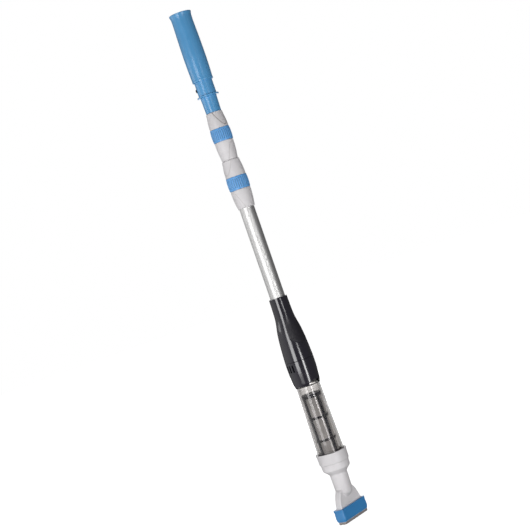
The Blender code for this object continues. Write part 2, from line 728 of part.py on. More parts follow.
def piston():
    """Plug with a ring groove, pressed in the foot of the outer tube."""
    radius, wall, foot, _ = OUTER_TUBE
    spigot_r = radius - wall - GAP
    groove_low, groove_high = PISTON_GROOVE
    outline = (
        (0.0, PISTON_SPIGOT_TOP),
        (spigot_r, PISTON_SPIGOT_TOP),
        (spigot_r, foot - GAP),
        (PISTON_R, foot - GAP),
        (PISTON_R, groove_high),
        (PISTON_GROOVE_R, groove_high),
        (PISTON_GROOVE_R, groove_low),
        (PISTON_R, groove_low),
        (PISTON_R, PISTON_BOTTOM),
        (0.0, PISTON_BOTTOM),
    )
    turned("piston", outline, CAGE_BLACK)


def piston_ring():
    low, high = PISTON_GROOVE
    turned("piston_ring", ring_outline(PISTON_RING_R, PISTON_RING_BORE_R, low + GAP, high - GAP), RUBBER)


def tube_plug(name, spec):
    head_r, spigot_r, bottom, shoulder, top = spec
    outline = (
        (0.0, top),
        (spigot_r, top),
        (spigot_r, shoulder),
        (head_r, shoulder),
        (head_r, bottom),
        (0.0, bottom),
    )
    turned(name, outline, CAGE_BLACK)


def twist_lock(prefix, heights, radii, tube_r, next_tube_r):
    """A lock body with a threaded spigot, a barrel ring that turns on it, a cap and a split collet."""
    spigot_r = radii[1] - LOCK_WALL
    spigot_top = heights[2] + LOCK_SPIGOT_RISE
    lock_body(prefix, heights, radii, tube_r + GAP, spigot_r, spigot_top)
    lock_ring(prefix, heights, radii, spigot_r)
    lock_cap(prefix, heights, radii, next_tube_r + 0.5 * MM, spigot_r, spigot_top)
    collet_ends = (heights[2] - COLLET_DROP, spigot_top - 1.0 * MM)
    lock_collet(prefix, tube_r, next_tube_r + COLLET_LOOSENESS, *collet_ends)


def lock_body(prefix, heights, radii, bore, spigot_r, spigot_top):
    bottom, ring_low, _, _ = heights
    foot_r, shoulder_r, _, _ = radii
    top = ring_low - 0.2 * MM
    outline = (
        (spigot_r, spigot_top),
        (spigot_r, top),
        (shoulder_r, top),
        (shoulder_r - LOCK_WAIST_INSET, ring_low - LOCK_WAIST),
        (foot_r, bottom + 0.8 * MM),
        (foot_r - 0.6 * MM, bottom),
        (bore, bottom),
        (bore, spigot_top),
    )
    turned(f"{prefix}_lock_body", outline, GREY)


def lock_ring(prefix, heights, radii, spigot_r):
    low = heights[1] + GAP
    high = heights[2] - GAP
    ring_r = radii[2]
    bore = spigot_r + 0.5 * MM
    outline = (
        (ring_r - RING_EDGE_INSET, high),
        (ring_r - LOCK_WAIST_INSET, high - RING_BARREL),
        (ring_r, (low + high) / 2),
        (ring_r - LOCK_WAIST_INSET, low + RING_BARREL),
        (ring_r - RING_EDGE_INSET, low),
        (bore, low),
        (bore, high),
    )
    turned(f"{prefix}_lock_ring", outline, RING_BLUE)


def lock_cap(prefix, heights, radii, bore, spigot_r, spigot_top):
    _, _, bottom, top = heights
    _, shoulder_r, _, cap_top_r = radii
    skirt_bore = spigot_r + GAP
    roof = spigot_top + GAP
    outline = (
        (cap_top_r - 0.8 * MM, top),
        (cap_top_r, top - 1.0 * MM),
        (shoulder_r - 0.1 * MM, bottom + CAP_SHOULDER),
        (shoulder_r + 0.1 * MM, bottom),
        (skirt_bore, bottom),
        (skirt_bore, roof),
        (bore, roof),
        (bore, top),
    )
    turned(f"{prefix}_lock_cap", outline, GREY)


def lock_collet(prefix, outer_r, inner_r, bottom, top):
    collet = turned(f"{prefix}_collet", ring_outline(outer_r, inner_r, bottom, top), NATURAL)
    slit = box_mesh(f"{prefix}_slit", SLIT_SIZE, (outer_r, 0.0, (bottom + top) / 2))
    cut(collet, add_cutter(f"{prefix}_slit", slit))


def radial_rod(name, radius, ends, segments=16):
    """A rod that points out of the neck on the button's axis."""
    start, end = ends
    mesh = rod_mesh(name, radius, start, end, "X", (0.0, 0.0, BUTTON_Z), segments)
    mesh.transform(Matrix.Rotation(math.radians(BUTTON_DEG), 4, "Z"))
    return mesh


def pole_connector():
    """Blue sleeve on the inner tube, its flange and the spigot that carries the handle."""
    tube_bore = INNER_TUBE[0] + GAP
    web = INNER_TUBE[3] + GAP
    spigot_r = CORE_BORE_R - GAP
    spigot_bore = spigot_r - CONNECTOR_WALL
    outline = (
        (spigot_r, CONNECTOR_TOP),
        (spigot_r, FLANGE_TOP),
        (FLANGE_R, FLANGE_TOP),
        (FLANGE_R, FLANGE_BOTTOM),
        (CONNECTOR_TOP_R, FLANGE_BOTTOM),
        (CONNECTOR_R, CONNECTOR_BOTTOM),
        (tube_bore, CONNECTOR_BOTTOM),
        (tube_bore, web),
        (WEB_BORE_R, web),
        (WEB_BORE_R, web + WEB_H),
        (spigot_bore, web + WEB_H),
        (spigot_bore, CONNECTOR_TOP),
    )
    connector = turned("pole_connector", outline, BLUE)
    hole = radial_rod("connector_button_hole", BUTTON_R + GAP, (8.0 * MM, 22.0 * MM))
    cut(connector, add_cutter("connector_button_hole", hole))


def handle_core():
    """Neck that the button locks, and the tube that stiffens the grip."""
    step_low, step_high = CORE_STEP
    outline = (
        (CORE_R, CORE_TOP),
        (CORE_R, NECK_BAND_TOP),
        (NECK_BAND_R, NECK_BAND_TOP),
        (NECK_BAND_R, FLANGE_TOP + GAP),
        (CORE_BORE_R, FLANGE_TOP + GAP),
        (CORE_BORE_R, step_low),
        (CORE_TOP_BORE_R, step_high),
        (CORE_TOP_BORE_R, CORE_TOP),
    )
    core = turned("handle_core", outline, BLUE)
    hole = radial_rod("core_button_hole", BUTTON_R + GAP, (14.0 * MM, 22.0 * MM))
    cut(core, add_cutter("core_button_hole", hole))


def handle_grip():
    """Barrel grip with a flared rim at the top and a stepped rim at the bottom."""
    turned("handle_grip", scaled(GRIP_MM), BLUE)


def grip_cap():
    """Domed plug in the end of the grip."""
    turned("grip_cap", scaled(GRIP_CAP_MM), BLUE)


def snap_button():
    """Round button with a domed face, its retaining flange inside the spigot."""
    button = add_part("snap_button", radial_rod("snap_button", BUTTON_R, BUTTON_BODY), BLACK)
    face = radial_rod("button_face", BUTTON_FACE_R, BUTTON_FACE)
    flange = radial_rod("button_flange", BUTTON_FLANGE_R, BUTTON_FLANGE)
    join(button, add_cutter("button_face", face), add_cutter("button_flange", flange))


def button_spring():
    """Coil spring that pushes the button out, seated on the far wall of the spigot."""
    start, end = SPRING_ENDS
    steps = SPRING_TURNS * 8
    curve = bpy.data.curves.new("button_spring", "CURVE")
    curve.dimensions = "3D"
    curve.bevel_depth = SPRING_WIRE_R
    curve.bevel_resolution = 0
    curve.use_fill_caps = True
    spline = curve.splines.new("POLY")
    spline.points.add(steps)
    direction = Matrix.Rotation(math.radians(BUTTON_DEG), 3, "Z")
    for index in range(steps + 1):
        angle = 2 * math.pi * SPRING_TURNS * index / steps
        along = start + (end - start) * index / steps
        point = direction @ Vector((along, SPRING_R * math.cos(angle), SPRING_R * math.sin(angle)))
        spline.points[index].co = (point.x, point.y, point.z + BUTTON_Z, 1.0)
    spring = bpy.data.objects.new("button_spring", curve)
    PARTS.objects.link(spring)
    curve.materials.append(make_material("button_spring", *STEEL))


def build():
    nozzle_body()
    bumper_frame()
    collar_ring()
    chamber_seal()
    inlet_seat()
    inlet_flap()
    flap_pin()
    cage_frame()
    cage_mesh()
    cage_lid()
    debris_chamber()
    chamber_gasket()
    vent_skirt()
    pump_body()
    suction_duct()
    valve_plate()
    intake_valve()
    outlet_valve()
    pump_cylinder()
    rod_guide()
    tube("outer_tube", OUTER_TUBE)
    piston()
    piston_ring()
    twist_lock("lower", LOWER_LOCK_Z, LOWER_LOCK_R, OUTER_TUBE[0], MIDDLE_TUBE[0])
    tube("middle_tube", MIDDLE_TUBE)
    tube_plug("middle_tube_plug", MIDDLE_PLUG)
    twist_lock("upper", UPPER_LOCK_Z, UPPER_LOCK_R, MIDDLE_TUBE[0], INNER_TUBE[0])
    tube("inner_tube", INNER_TUBE)
    tube_plug("inner_tube_plug", INNER_PLUG)
    pole_connector()
    handle_core()
    handle_grip()
    grip_cap()
    snap_button()
    button_spring()


build()
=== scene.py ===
"""Looks of a hand-pumped pool and spa vacuum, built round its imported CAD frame.

The CAD's turned parts are coarse, so each one's outline is read from the frame, its corners are rounded
and it is spun again finely. Scoops, ribs and petals are worked into those surfaces. Lengths below are in
millimetres unless a name says otherwise; the finished meshes are in metres.
"""

import math

import bmesh
import bpy
import numpy as np
from mathutils import Matrix, Vector


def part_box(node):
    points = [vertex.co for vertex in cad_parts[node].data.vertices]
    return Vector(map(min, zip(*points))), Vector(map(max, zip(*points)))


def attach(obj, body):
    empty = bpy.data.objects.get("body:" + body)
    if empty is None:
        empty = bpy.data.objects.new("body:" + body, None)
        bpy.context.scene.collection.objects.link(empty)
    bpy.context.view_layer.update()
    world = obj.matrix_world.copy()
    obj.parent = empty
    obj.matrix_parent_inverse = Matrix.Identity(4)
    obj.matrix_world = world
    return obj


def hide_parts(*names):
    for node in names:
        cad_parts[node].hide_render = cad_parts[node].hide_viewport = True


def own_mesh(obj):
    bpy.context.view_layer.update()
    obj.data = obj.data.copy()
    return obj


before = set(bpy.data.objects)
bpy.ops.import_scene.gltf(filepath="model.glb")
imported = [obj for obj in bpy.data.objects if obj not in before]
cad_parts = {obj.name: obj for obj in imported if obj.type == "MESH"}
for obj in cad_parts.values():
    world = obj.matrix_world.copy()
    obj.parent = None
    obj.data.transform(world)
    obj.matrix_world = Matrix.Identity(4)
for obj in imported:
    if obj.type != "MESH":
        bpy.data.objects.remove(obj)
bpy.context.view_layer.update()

MM = 0.001

# Turned surfaces. A corner that turns less than FLOW_TURN is a bend in a smooth wall and not an edge.
SEGMENTS = 128
FINE_SEGMENTS = 288
RING_SEGMENTS = 360
BARREL_SEGMENTS = 384
EDGE_RADIUS = 0.35
FLOW_TURN = math.radians(33.0)
ARC_STEP_DEG = 12.0
EDGE_SUPPORT = 0.1
WELD_STEP = 0.01
SOLID_REACH = 4.0

# Pump housing
HOUSING_TURN = -7.0
HOUSING_SIDES = (-90.0 + HOUSING_TURN, 90.0 + HOUSING_TURN)
HOUSING_EDGE = 0.6
VENT_TURN = -11.5
VENT_STEP = 15.0
VENT_SIZE = (12.0, 3.6, 13.5)
VENT_CENTRE = (27.0, 0.0, 296.25)
VENT_CORNER = 0.9
ARCH_HALF_WIDTH = 14.5
ARCH_RISE = 6.6
ARCH_LENGTH = 80.0

# Finger scoops: a sharp bevel, then a slow sink towards the middle, fading out between two heights
SCOOP_TIP = 336.5
SCOOP_SPREAD = 6.6
SCOOP_HALF_DEG = 54.0
SCOOP_DEPTH = 0.55
SCOOP_BEVEL = 1.8
SCOOP_SINK = 1.8
SCOOP_REACH = 19.0
SCOOP_FADE = (366.0, 396.0)

# Twist locks
LOCK_SIDES = {"upper": (-90.0, 90.0), "lower": (168.0, -12.0)}
PETAL_BEVEL = 1.1
SEAM_WIDTH = 0.8
SEAM_DEPTH = 0.3
RING_RIBS = 30
RIB_DEPTH = 0.8
RIB_PLAIN_BAND = 2.4
RIB_RUNOUT = 2.0

# Snap button and its spring. The outline is (radius, distance from the pole's axis).
BUTTON_DEG = 132.0
BUTTON_OUTLINE = ((0.0, 18.8), (2.7, 18.3), (3.6, 17.0), (3.6, 11.4), (5.0, 11.4), (5.0, 9.6), (0.0, 9.6))
SPRING_ENDS = (-10.5, 9.0)
SPRING_TURNS = 6
SPRING_STEPS_PER_TURN = 32
SPRING_SIDES = 10
SPRING_R = 3.15
SPRING_WIRE_R = 0.45

# Filter cage
CAGE_TURN = -15.0
CAGE_RIBS = 4
CAGE_RIB_CENTRE_R = 18.05
CAGE_RIB_DEPTH = 1.9
CAGE_RIB_WIDTH = 5.4
CAGE_RIB_SETBACK = 2.0

# Nozzle. A shoulder is (height, half width); an outline is (radius, height).
LIP_HALF = (36.6, 8.6)
LIP_TOP = 5.0
# Top of the lip's band of painted shade, under the bumper
LIP_SHADE_TOP = 4.2
NOTCH_SIZE = (5.0, 3.0, 3.6)
MOUTH_HALF_WIDTH = 33.4
MOUTH_HALF_DEPTH = 6.8
MOUTH_CORNER = 3.0
MOUTH_WALL = 1.9
INSET_CORNER_SHARE = 0.6
PANEL_MARGIN = 3.4
PANEL_HEIGHTS = (31.0, 57.0)
PANEL_DEPTH = 0.9
NOZZLE_VOXEL = 0.6
SHOULDERS = ((5.0, 33.4), (27.0, 33.4), (37.0, 30.8), (46.0, 27.4), (52.0, 24.0), (57.0, 20.0), (61.0, 14.5))
NECK_OUTLINE = (
    (0.0, 120.0), (22.2, 120.0), (22.2, 110.0), (26.8, 110.0), (26.0, 97.5), (16.8, 88.5), (16.2, 57.0),
    (15.3, 51.4), (12.6, 47.2), (8.3, 44.1), (3.5, 42.6), (0.0, 42.3),
)
BORE_OUTLINE = (
    (0.0, 122.0), (20.3, 122.0), (20.3, 104.5), (18.0, 104.5), (18.0, 97.5), (13.2, 88.5), (13.2, 58.0),
    (4.0, 50.0), (0.0, 50.0),
)

# Bumper. The bulge is (share of the height from the bottom, growth).
BUMPER_CORNER = 4.5
BUMPER_GAP = 0.3
BUMPER_BULGE = ((0.0, -1.6), (0.14, -0.4), (0.35, 0.0), (0.8, -0.6), (0.88, 0.0), (1.0, 0.0))

# Camera
CAMERA_POLAR = 220.0
CAMERA_HEIGHT = 540.0
CAMERA_DISTANCE = 2400.0
CAMERA_LEAN = 19.06
VIEW_WIDTH = 967.0
AIM_HEIGHT = 490.9
AIM_LEFT = 2.6

# Stage and surroundings
FLOOR_RADIUS_M = 9.0
FLOOR_DROP = 0.05
FLOOR_GLOW = 0.94
BACKGROUND = 1.0
LEFT_FILL = 0.48
RIGHT_FILL = 0.10
FILL_POLAR = 126.0

# Lamps: name, turn from the camera's side in degrees, distance, bottom, top, width, radiance
SOFTBOXES = (
    ("key", -29.0, 2000.0, -100.0, 1150.0, 850.0, 4.2),
    ("key_low", -29.0, 2000.0, -900.0, -100.0, 850.0, 1.0),
    ("strip", 25.0, 2000.0, -900.0, 350.0, 380.0, 8.0),
    ("strip_high", 25.0, 2000.0, 350.0, 1150.0, 380.0, 1.5),
    ("side", -97.0, 2000.0, 700.0, 1150.0, 1100.0, 1.4),
    ("back", -180.0, 2600.0, -300.0, 1700.0, 900.0, 1.5),
)

# Lamps that show neither in reflections nor through the clear wall: name, turn, radiance
FILLS = (
    ("fill_right", 30.0, 1.65),
    ("fill_left", -72.0, 1.3),
    ("fill_back_right", 158.0, 1.3),
    ("fill_back_left", -158.0, 1.3),
)
FILL_SHAPE = (2000.0, -900.0, 1000.0, 1300.0)


# ---------------------------------------------------------------- outlines read from the frame


def span(node):
    """Bottom, top and largest half-width of a CAD node."""
    low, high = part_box(node)
    return low.z / MM, high.z / MM, max(high.x, high.y) / MM


def walk(links, start, step):
    """The points of a chain or loop of linked points, from start by way of step."""
    order = [start, step]
    while True:
        onward = [point for point in links[order[-1]] if point not in (order[-2], start)]
        if not onward or onward[0] in order:
            return order
        order.append(onward[0])


def links_in_plane(node, angle_deg):
    """Neighbours of each (radius, height) grid point of a CAD node in a half plane through the axis."""
    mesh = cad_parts[node].data
    points = np.array([vertex.co for vertex in mesh.vertices]) / MM
    angle = math.radians(angle_deg)
    along = points[:, 0] * math.cos(angle) + points[:, 1] * math.sin(angle)
    across = points[:, 1] * math.cos(angle) - points[:, 0] * math.sin(angle)
    near = (np.abs(across) < WELD_STEP / 2) & (along > -WELD_STEP / 2)
    keys = [(round(r / WELD_STEP), round(z / WELD_STEP)) for r, z in zip(along, points[:, 2])]
    links = {}
    for edge in mesh.edges:
        first, second = edge.vertices
        if near[first] and near[second] and keys[first] != keys[second]:
            links.setdefault(keys[first], []).append(keys[second])
            links.setdefault(keys[second], []).append(keys[first])
    return {point: sorted(set(others)) for point, others in links.items()}


def outlines_of(node, angle_deg=0.0):
    """A turned CAD node's outlines, the highest first: their (radius, height) points and whether each loops.

    An outline starts at the top and runs down the outside. A solid one starts and ends on the axis.
    """
    links = links_in_plane(node, angle_deg)
    outlines = []
    while links:
        ends = [point for point, others in links.items() if len(others) == 1]
        if ends and min(point[0] for point in ends) < SOLID_REACH / WELD_STEP:
            start = max(ends, key=lambda point: point[1])
            order = walk(links, start, links[start][0])
            closed = False
            top_point = [(0, order[0][1])] if order[0][0] > 0 else []
            foot_point = [(0, order[-1][1])] if order[-1][0] > 0 else []
            found = top_point + order + foot_point
        else:
            if ends:
                links[ends[0]].append(ends[1])
                links[ends[1]].append(ends[0])
            start = max(links, key=lambda point: (point[1], point[0]))
            order = walk(links, start, min(links[start], key=lambda point: point[1]))
            closed = True
            found = order
        outlines.append(([(r * WELD_STEP, z * WELD_STEP) for r, z in found], closed))
        links = {point: others for point, others in links.items() if point not in order}
    return outlines


def soften(outline, is_loop, edge=EDGE_RADIUS):
    """Round an outline: a small arc where it turns sharply and a long one where it only bends."""
    points = [Vector(point) for point in outline]
    count = len(points)
    dense = []
    for index, here in enumerate(points):
        if not is_loop and index in (0, count - 1):
            dense.append(here)
            continue
        before = points[index - 1] - here
        after = points[(index + 1) % count] - here
        turn = math.pi - before.angle(after)
        room = min(before.length, after.length)
        is_edge = turn > FLOW_TURN
        reach = min(edge * math.tan(turn / 2), 0.45 * room) if is_edge else 0.49 * room
        first = here + before.normalized() * reach
        last = here + after.normalized() * reach
        steps = max(2, math.ceil(math.degrees(turn) / ARC_STEP_DEG))
        if is_edge and before.length > 4 * reach + 0.2:
            dense.append(first + before.normalized() * EDGE_SUPPORT)
        for step in range(steps + 1):
            t = step / steps
            dense.append(first * (1 - t) ** 2 + here * 2 * t * (1 - t) + last * t ** 2)
        if is_edge and after.length > 4 * reach + 0.2:
            dense.append(last + after.normalized() * EDGE_SUPPORT)
    return dense


def split_rows(rows, is_loop, longest):
    """Divide long steps on the outside, which ends at the lowest row.

    Returns the rows and how many of them are outside.
    """
    lowest = min(range(len(rows)), key=lambda index: (round(rows[index].y, 3), index))
    divided = []
    outside = 0
    for index, here in enumerate(rows):
        divided.append(here)
        if index >= lowest:
            if index == lowest:
                outside = len(divided)
            continue
        after = rows[index + 1]
        parts = math.ceil((after - here).length / longest) if longest else 1
        divided += [here.lerp(after, part / parts) for part in range(1, parts)]
    return divided, outside


# ---------------------------------------------------------------- mesh building


def add_piece(name, mesh, body, material, slot, *replaced):
    """Put a mesh in the scene as a visible piece of the object."""
    piece = bpy.data.objects.new(name, mesh)
    bpy.context.scene.collection.objects.link(piece)
    mesh.materials.clear()
    mesh.materials.append(material)
    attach(piece, body)
    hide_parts(*replaced)
    return piece


def circle_ring(segments):
    """A function that gives the circle's points at an offset from the Z axis, and the points' angles."""
    angles = np.arange(segments) * 2 * math.pi / segments

    def ring(offsets):
        return offsets * np.cos(angles), offsets * np.sin(angles)

    return ring, angles


def slot_ring(half_width, half_depth, corner, steps, growth=(1.0, 1.0, 1.0)):
    """The same for a rectangle with round corners. The growth says how each size follows the offset."""
    quarters = np.repeat(np.arange(4), steps + 1)
    angles = (quarters + np.tile(np.arange(steps + 1) / steps, 4)) * math.pi / 2
    side_x = np.where((quarters == 0) | (quarters == 3), 1.0, -1.0)
    side_y = np.where(quarters < 2, 1.0, -1.0)

    def ring(offsets):
        radius = corner + growth[2] * offsets
        x = side_x * (half_width + growth[0] * offsets - radius) + radius * np.cos(angles)
        y = side_y * (half_depth + growth[1] * offsets - radius) + radius * np.sin(angles)
        return x, y

    return ring, angles


def sweep_mesh(name, rows, is_loop, path, relief=None, outside=0):
    """Sweep an outline of (offset, height) rows round the Z axis.

    The relief gives how far the outside's points move, and a mark from 0 to 1 that materials can read.
    """
    ring, angles = path
    offsets = np.array([row[0] for row in rows])[:, None] * np.ones(len(angles))[None, :]
    heights = np.array([row[1] for row in rows])[:, None] * np.ones(len(angles))[None, :]
    marks = np.zeros_like(offsets)
    if relief:
        moved, marks[:outside] = relief(angles[None, :], heights[:outside], offsets[:outside])
        offsets[:outside] += moved
    x, y = ring(offsets)
    vertices = (np.stack([x, y, heights], axis=-1) * MM).reshape(-1, 3).tolist()
    count = len(angles)
    after = ((np.arange(count) + 1) % count).tolist()
    levels = len(rows) if is_loop else len(rows) - 1
    faces = []
    for level in range(levels):
        upper = level * count
        lower = ((level + 1) % len(rows)) * count
        faces += [(upper + i, lower + i, lower + j, upper + j) for i, j in enumerate(after)]
    mesh = bpy.data.meshes.new(name)
    mesh.from_pydata(vertices, [], faces)
    mesh.attributes.new("mark", "FLOAT", "POINT").data.foreach_set("value", marks.ravel())
    if not is_loop:
        close_poles(mesh)
    mesh.shade_smooth()
    return mesh


def close_poles(mesh):
    """Merge the points that lie on the axis, where a solid outline starts and ends."""
    shape = bmesh.new()
    shape.from_mesh(mesh)
    bmesh.ops.remove_doubles(shape, verts=shape.verts, dist=1e-7)
    shape.to_mesh(mesh)
    shape.free()


def respun(node, relief=None, row=None, segments=SEGMENTS, edge=EDGE_RADIUS, at_deg=0.0):
    """A fine mesh of a turned CAD node."""
    outline, is_loop = outlines_of(node, at_deg)[0]
    rows, outside = split_rows(soften(outline, is_loop, edge), is_loop, row)
    return sweep_mesh(node, rows, is_loop, circle_ring(segments), relief, outside)


def turned_mesh(name, outline, segments=SEGMENTS, edge=EDGE_RADIUS):
    """The mesh of an outline given here. One that starts on the axis is solid."""
    is_loop = outline[0][0] > 0
    return sweep_mesh(name, soften(outline, is_loop, edge), is_loop, circle_ring(segments))


def baked(mesh, modifiers):
    """The mesh that a stack of modifiers makes. Each is (kind, settings)."""
    thing = bpy.data.objects.new("work", mesh)
    bpy.context.scene.collection.objects.link(thing)
    for kind, settings in modifiers:
        modifier = thing.modifiers.new(kind, kind)
        for key, value in settings.items():
            setattr(modifier, key, value)
    depsgraph = bpy.context.evaluated_depsgraph_get()
    result = bpy.data.meshes.new_from_object(thing.evaluated_get(depsgraph))
    bpy.data.objects.remove(thing)
    return result


def combined(mesh, others, operation="DIFFERENCE"):
    """A mesh cut by, or joined with, other closed meshes."""
    tools = []
    for other in others:
        tool = bpy.data.objects.new("tool", other)
        bpy.context.scene.collection.objects.link(tool)
        tools.append(tool)
    steps = [("BOOLEAN", {"operation": operation, "object": tool, "solver": "EXACT"}) for tool in tools]
    result = baked(mesh, steps)
    for tool in tools:
        bpy.data.objects.remove(tool)
    return result


def smooth_by_angle(mesh, limit_deg=35.0):
    mesh.shade_smooth()
    mesh.set_sharp_from_angle(angle=math.radians(limit_deg))
    return mesh


def rounded_box(size, centre, radius, turn_deg=0.0):
    """A box with rounded edges, turned about the Z axis."""
    mesh = bpy.data.meshes.new("box")
    shape = bmesh.new()
    bmesh.ops.create_cube(shape, size=1.0)
    bmesh.ops.scale(shape, vec=[side * MM for side in size], verts=shape.verts)
    bmesh.ops.bevel(
        shape,
        geom=shape.edges,
        offset=radius * MM,
        segments=4,
        affect="EDGES",
        profile=0.5,
        clamp_overlap=True,
    )
    bmesh.ops.translate(shape, vec=[place * MM for place in centre], verts=shape.verts)
    shape.to_mesh(mesh)
    shape.free()
    mesh.transform(Matrix.Rotation(math.radians(turn_deg), 4, "Z"))
    return mesh


# ---------------------------------------------------------------- reliefs


def eased(values):
    """0 to 1 with a smooth start and end."""
    values = np.clip(values, 0.0, 1.0)
    return values * values * (3.0 - 2.0 * values)


def inside_arch(angles, heights, radii, centre_deg, tip, spread, opens_up=True):
    """How far inside a parabola drawn on the barrel each point is. Its half-width is spread x sqrt(rise)."""
    turned = (angles - math.radians(centre_deg) + math.pi) % (2 * math.pi) - math.pi
    across = turned * radii
    rise = (heights - tip) if opens_up else (tip - heights)
    slope = 2 * across / spread ** 2
    return (rise - (across / spread) ** 2) / np.sqrt(1 + slope ** 2)


def scoop_relief(angles, heights, radii):
    """Finger scoops: a bevelled U at front and back that fades out up the shoulder."""
    fade = 1.0 - eased((heights - SCOOP_FADE[0]) / (SCOOP_FADE[1] - SCOOP_FADE[0]))
    total = np.zeros_like(heights)
    scoop_matt_and_shade = np.zeros_like(heights)
    for side in HOUSING_SIDES:
        across = np.abs((angles - math.radians(side) + math.pi) % (2 * math.pi) - math.pi)
        arch = inside_arch(angles, heights, radii, side, SCOOP_TIP, SCOOP_SPREAD)
        inside = np.minimum(arch, (math.radians(SCOOP_HALF_DEG) - across) * radii)
        bevel = eased(inside / SCOOP_BEVEL)
        total -= (SCOOP_DEPTH * bevel + SCOOP_SINK * eased(inside / SCOOP_REACH)) * fade
        # The mark makes each scoop matt and paints shade into its colour.
        scoop_matt_and_shade = np.maximum(scoop_matt_and_shade, bevel * fade)
    return total, scoop_matt_and_shade


def petal_relief(prefix, tip, spread, opens_up, depth, shade=0.35):
    """Two petals moulded into a lock's cap or body, each edged by a grooved seam; the mark paints shade
    along it.
    """

    def relief(angles, heights, radii):
        total = np.zeros_like(heights)
        seam_shade = np.zeros_like(heights)
        for side in LOCK_SIDES[prefix]:
            inside = inside_arch(angles, heights, radii, side, tip, spread, opens_up)
            line = np.exp(-((inside / SEAM_WIDTH) ** 2))
            total -= depth * eased(inside / PETAL_BEVEL) + SEAM_DEPTH * line
            # The mark along each seam paints shade into the colour there.
            seam_shade = np.maximum(seam_shade, shade * line)
        return total, seam_shade

    return relief


def rib_relief(node):
    """Upright ribs round a ring, with a plain band at the top and bottom."""
    bottom, top, _ = span(node)

    def relief(angles, heights, radii):
        ends = np.minimum(heights - bottom, top - heights)
        wave = (0.5 - 0.5 * np.cos(RING_RIBS * angles)) ** 2
        grooves = wave * eased((ends - RIB_PLAIN_BAND) / RIB_RUNOUT)
        # The grooves also go out as the mark, which paints shade into them.
        return -RIB_DEPTH * grooves, grooves

    return relief


# ---------------------------------------------------------------- materials


def start_material(name):
    material = bpy.data.materials.new(name)
    material.use_nodes = True
    return material, material.node_tree, material.node_tree.nodes["Principled BSDF"]


def put(tree, socket, value):
    """Link a socket or set a value on an input."""
    if isinstance(value, bpy.types.NodeSocket):
        tree.links.new(value, socket)
    else:
        socket.default_value = value


def add_node(tree, kind, inputs=None, **settings):
    node = tree.nodes.new(kind)
    for key, value in settings.items():
        setattr(node, key, value)
    for key, value in (inputs or {}).items():
        put(tree, node.inputs[key], value)
    return node


def calc(tree, operation, first, second=0.0):
    return add_node(tree, "ShaderNodeMath", {0: first, 1: second}, operation=operation).outputs[0]


def remap(tree, value, low, high, new_low, new_high):
    inputs = {"Value": value, "From Min": low, "From Max": high, "To Min": new_low, "To Max": new_high}
    return add_node(tree, "ShaderNodeMapRange", inputs).outputs["Result"]


def place_in(tree, stretch=(1.0, 1.0, 1.0)):
    """The point on the object, in metres, stretched along its axes."""
    point = add_node(tree, "ShaderNodeTexCoord").outputs["Object"]
    return add_node(tree, "ShaderNodeVectorMath", {0: point, 1: stretch}, operation="MULTIPLY").outputs[0]


def noise(tree, scale, detail=2.0, stretch=(1.0, 1.0, 1.0)):
    inputs = {"Vector": place_in(tree, stretch), "Scale": scale, "Detail": detail}
    return add_node(tree, "ShaderNodeTexNoise", inputs).outputs["Fac"]


def blend(tree, share, first, second, kind="MIX"):
    mixer = add_node(tree, "ShaderNodeMix", data_type="RGBA", blend_type=kind)
    put(tree, mixer.inputs[0], share)
    put(tree, mixer.inputs[6], first)
    put(tree, mixer.inputs[7], second)
    return mixer.outputs[2]


def tint(colour, factor):
    return (*[min(1.0, channel * factor) for channel in colour], 1.0)


def bump(tree, shader, height, strength, distance_mm):
    inputs = {"Strength": strength, "Distance": distance_mm * MM, "Height": height}
    put(tree, shader.inputs["Normal"], add_node(tree, "ShaderNodeBump", inputs).outputs["Normal"])


def plastic(
    name, colour, roughness, grain=0.02, coat=0.0, ior=1.5, shine=0.5, drift=0.07, mark=(1.0, 0.0)
):
    """Moulded plastic: slow colour drift, a fine grain, faint handling scratches and dull patches.

    The mark paints shade into grooves, seams and finger scoops. Its first value is a factor on the colour
    there.
    Its second is added to the roughness and takes the same share off the shine.
    """
    material, tree, shader = start_material(name)
    slow = noise(tree, 22.0, 3.0)
    mottle = noise(tree, 420.0, 2.0)
    patches = remap(tree, slow, 0.35, 0.65, 0.0, 1.0)
    drifted = blend(tree, patches, tint(colour, 1.0 - drift), tint(colour, 1.0 + drift))
    fine = blend(tree, remap(tree, mottle, 0.3, 0.7, 0.0, 0.25), drifted, tint(colour, 1.0 - 2 * drift))
    marked = add_node(tree, "ShaderNodeAttribute", attribute_name="mark").outputs["Fac"]
    # Painted shade: marked places darken, blue the most, like shade in a groove.
    shaded = blend(tree, 1.0, fine, (mark[0], mark[0] ** 1.1, mark[0] ** 1.2, 1.0), "MULTIPLY")
    put(tree, shader.inputs["Base Color"], blend(tree, marked, fine, shaded))
    scratch = remap(tree, noise(tree, 900.0, 2.0, (1.0, 1.0, 0.05)), 0.62, 0.72, 0.0, 0.12)
    masked_amount = calc(tree, "MULTIPLY", marked, mark[1])
    dull = calc(tree, "ADD", masked_amount, remap(tree, slow, 0.3, 0.7, -0.04, 0.05))
    put(tree, shader.inputs["Roughness"], calc(tree, "ADD", calc(tree, "ADD", scratch, dull), roughness))
    shader.inputs["IOR"].default_value = ior
    gloss = remap(tree, marked, 0.0, 1.0, shine, shine * (1.0 - mark[1]))
    put(tree, shader.inputs["Specular IOR Level"], gloss)
    shader.inputs["Coat Weight"].default_value = coat
    shader.inputs["Coat Roughness"].default_value = 0.08
    bump(tree, shader, noise(tree, 1800.0, 3.0), 0.35, grain)
    return material


